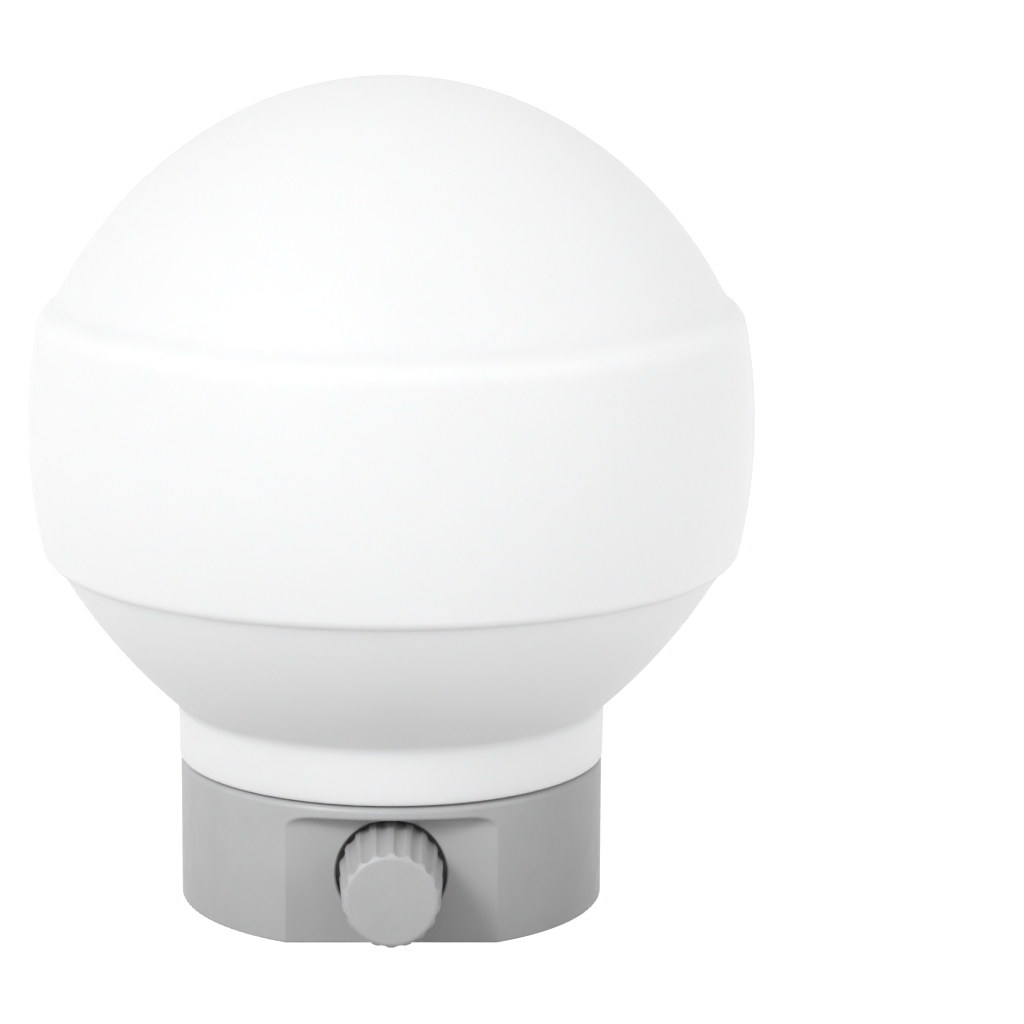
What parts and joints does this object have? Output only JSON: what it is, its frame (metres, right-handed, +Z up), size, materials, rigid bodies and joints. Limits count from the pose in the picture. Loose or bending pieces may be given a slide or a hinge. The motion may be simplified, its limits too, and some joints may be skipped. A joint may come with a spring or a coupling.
{
  "type": "globe light diffuser",
  "caption": "Milky plastic globe with a raised band on a grey collar; a knob locks the collar to a clamp ring with a cam lever that grips a round lamp head.",
  "frame": {"origin": "on the axis of globe and collar, in the plane that the collar stands on", "axes": "+Z up along the axis, -Y towards the knob, +X to the right seen from the knob's side"},
  "size_m": [0.15, 0.15, 0.1716],
  "materials": {
    "globe_shell": "satin milky white, translucent",
    "collar_plastic": "satin light grey",
    "ring_plastic": "satin light grey",
    "black_rubber": "matt black",
    "zinc_steel": "zinc plated",
    "brass": "turned",
    "pad_nylon": "natural nylon"
  },
  "bodies": {
    "adapter": {"clamp_ring": "ring_plastic", "ring_gasket": "black_rubber", "grip_pads": "black_rubber", "lever_pin": "zinc_steel"},
    "lever": {"clamp_lever": "ring_plastic", "lever_pad": "black_rubber"},
    "collar": {"globe": "globe_shell", "base_housing": "collar_plastic", "bottom_cover": "collar_plastic", "cover_screws": "zinc_steel", "neck_washer": "black_rubber", "lock_nut": "brass"},
    "bayonet": {"lock_ring": "ring_plastic"},
    "screw_tip": {"thrust_pad": "pad_nylon"},
    "thumb_screw": {"knob": "collar_plastic", "spindle": "zinc_steel"}
  },
  "joints": [
    {"name": "collar_lift", "type": "slide", "parent": "adapter", "child": "collar", "axis": [0, 0, 1], "range_m": [0, 0.016]},
    {"name": "lever_open", "type": "hinge", "parent": "adapter", "child": "lever", "pos_m": [0, 0.031, 0.0068], "axis": [1, 0, 0], "range_deg": [0, 75]},
    {"name": "bayonet_turn", "type": "hinge", "parent": "collar", "child": "bayonet", "pos_m": [0, 0, 0.0255], "axis": [0, 0, -1], "range_deg": [0, 45]},
    {"name": "screw_feed", "type": "slide", "parent": "collar", "child": "screw_tip", "axis": [0, 1, 0], "range_m": [0, 0.0024]},
    {"name": "knob_turn", "type": "hinge", "parent": "screw_tip", "child": "thumb_screw", "pos_m": [0, -0.0475, 0.0147], "axis": [0, 1, 0], "range_deg": [0, 1080]}
  ],
  "couplings": [
    {"joint": "screw_feed", "follows": "knob_turn", "m_per_rad": 0.00012732}
  ]
}
